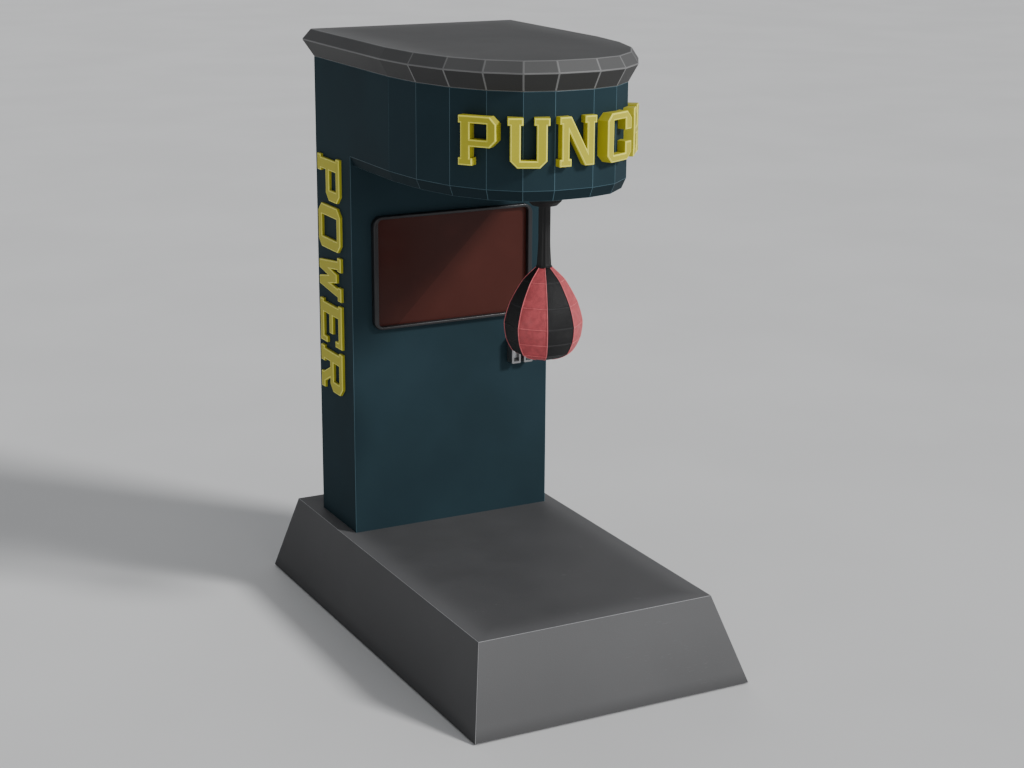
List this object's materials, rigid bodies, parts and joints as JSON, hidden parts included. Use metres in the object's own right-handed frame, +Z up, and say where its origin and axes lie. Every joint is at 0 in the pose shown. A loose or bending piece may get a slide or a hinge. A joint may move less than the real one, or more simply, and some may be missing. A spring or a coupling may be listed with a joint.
{
  "type": "boxing punch machine",
  "caption": "Free-standing boxing punch machine: a bag on a swing arm under a bonnet head, on a column with a score window and a sloping base.",
  "frame": {"origin": "middle of the base's footprint, on the floor", "axes": "+Z up, the player stands at -Y facing +Y, +X is the player's right"},
  "size_m": [1.088, 1.85, 2.2],
  "materials": {
    "teal": "satin powder coat",
    "base_grey": "fine texture powder coat",
    "cap_grey": "painted glass-fibre moulding, satin",
    "yellow": "satin enamel",
    "bezel_black": "fine moulded",
    "smoked_window": "tinted polycarbonate",
    "coin_metal": "zinc die casting, satin",
    "steel": "zinc plated",
    "frame_steel": "black primer",
    "rubber": "moulded",
    "bag_leather": "red and black gores, stitched",
    "bronze": "sintered bronze",
    "black_plastic": "moulded",
    "circuit_board": "fibreglass laminate",
    "spring_steel": "wire"
  },
  "bodies": {
    "cabinet": {"axle_bushes": "bronze", "ballast_slabs": "frame_steel", "base_frame": "frame_steel", "base_shell": "base_grey", "buffer_pad": "rubber", "cash_box": "steel", "coin_chute": "steel", "coin_entry_left": "coin_metal", "coin_entry_right": "coin_metal", "coin_selectors": "black_plastic", "column_bolts": "steel", "column_frame": "frame_steel", "controller_board": "circuit_board", "digit_modules": "black_plastic", "foot_nuts": "steel", "front_letters": "yellow", "front_panel": "teal", "head_fascia": "teal", "head_frame": "frame_steel", "hinge_cabinet_leaves": "steel", "latch_spring": "spring_steel", "levelling_feet": "rubber", "mains_inlet": "black_plastic", "power_supply": "steel", "rear_lower_panel": "teal", "rear_panel_screws": "steel", "rear_upper_panel": "teal", "score_board": "circuit_board", "screen_bezel": "bezel_black", "screen_window": "smoked_window", "shelves": "steel", "side_letters": "yellow", "side_panel_left": "teal", "side_panel_right": "teal", "slot_trim": "rubber", "soffit_panel": "teal", "solenoid": "steel", "speakers": "black_plastic", "speed_sensor": "black_plastic", "top_cap": "cap_grey"},
    "bag_arm": {"pivot_axle": "steel", "axle_rings": "steel", "arm_hub": "frame_steel", "swing_arm": "steel", "arm_collar": "rubber", "arm_sleeve": "rubber", "punch_bag": "bag_leather", "catch_lever": "frame_steel", "encoder_disc": "steel"},
    "service_door": {"rear_door": "teal", "hinge_door_leaves": "steel", "lock_housing": "steel"},
    "door_lock": {"lock_barrel": "steel", "lock_cam": "steel"},
    "latch": {"latch_bolt": "steel"},
    "left_button": {"reject_button_left": "black_plastic"},
    "right_button": {"reject_button_right": "black_plastic"},
    "left_flap": {"return_flap_left": "steel"},
    "right_flap": {"return_flap_right": "steel"},
    "rocker": {"rocker_switch": "black_plastic"}
  },
  "joints": [
    {"name": "arm_swing", "type": "hinge", "parent": "cabinet", "child": "bag_arm", "pos_m": [0, -0.367, 1.795], "axis": [1, 0, 0], "range_deg": [0, 65]},
    {"name": "door_swing", "type": "hinge", "parent": "cabinet", "child": "service_door", "pos_m": [0.385, 0.7028, 0.99], "axis": [0, 0, -1], "range_deg": [0, 110]},
    {"name": "lock_turn", "type": "hinge", "parent": "service_door", "child": "door_lock", "pos_m": [-0.35, 0.6953, 0.99], "axis": [0, 1, 0], "range_deg": [0, 90]},
    {"name": "latch_slide", "type": "slide", "parent": "cabinet", "child": "latch", "axis": [-1, 0, 0], "range_m": [0, 0.014], "stiffness_N_per_m": 300, "deforming": ["latch_spring"]},
    {"name": "left_reject_press", "type": "slide", "parent": "cabinet", "child": "left_button", "axis": [0, 1, 0], "range_m": [0, 0.003], "stiffness_N_per_m": 400},
    {"name": "right_reject_press", "type": "slide", "parent": "cabinet", "child": "right_button", "axis": [0, 1, 0], "range_m": [0, 0.003], "stiffness_N_per_m": 400},
    {"name": "left_flap_swing", "type": "hinge", "parent": "cabinet", "child": "left_flap", "pos_m": [0.25875, 0.345, 0.964], "axis": [1, 0, 0], "range_deg": [0, 50]},
    {"name": "right_flap_swing", "type": "hinge", "parent": "cabinet", "child": "right_flap", "pos_m": [0.31125, 0.345, 0.964], "axis": [1, 0, 0], "range_deg": [0, 50]},
    {"name": "rocker_tilt", "type": "hinge", "parent": "cabinet", "child": "rocker", "pos_m": [-0.233, 0.69, 0.392], "axis": [1, 0, 0], "range_deg": [-8, 8]}
  ]
}
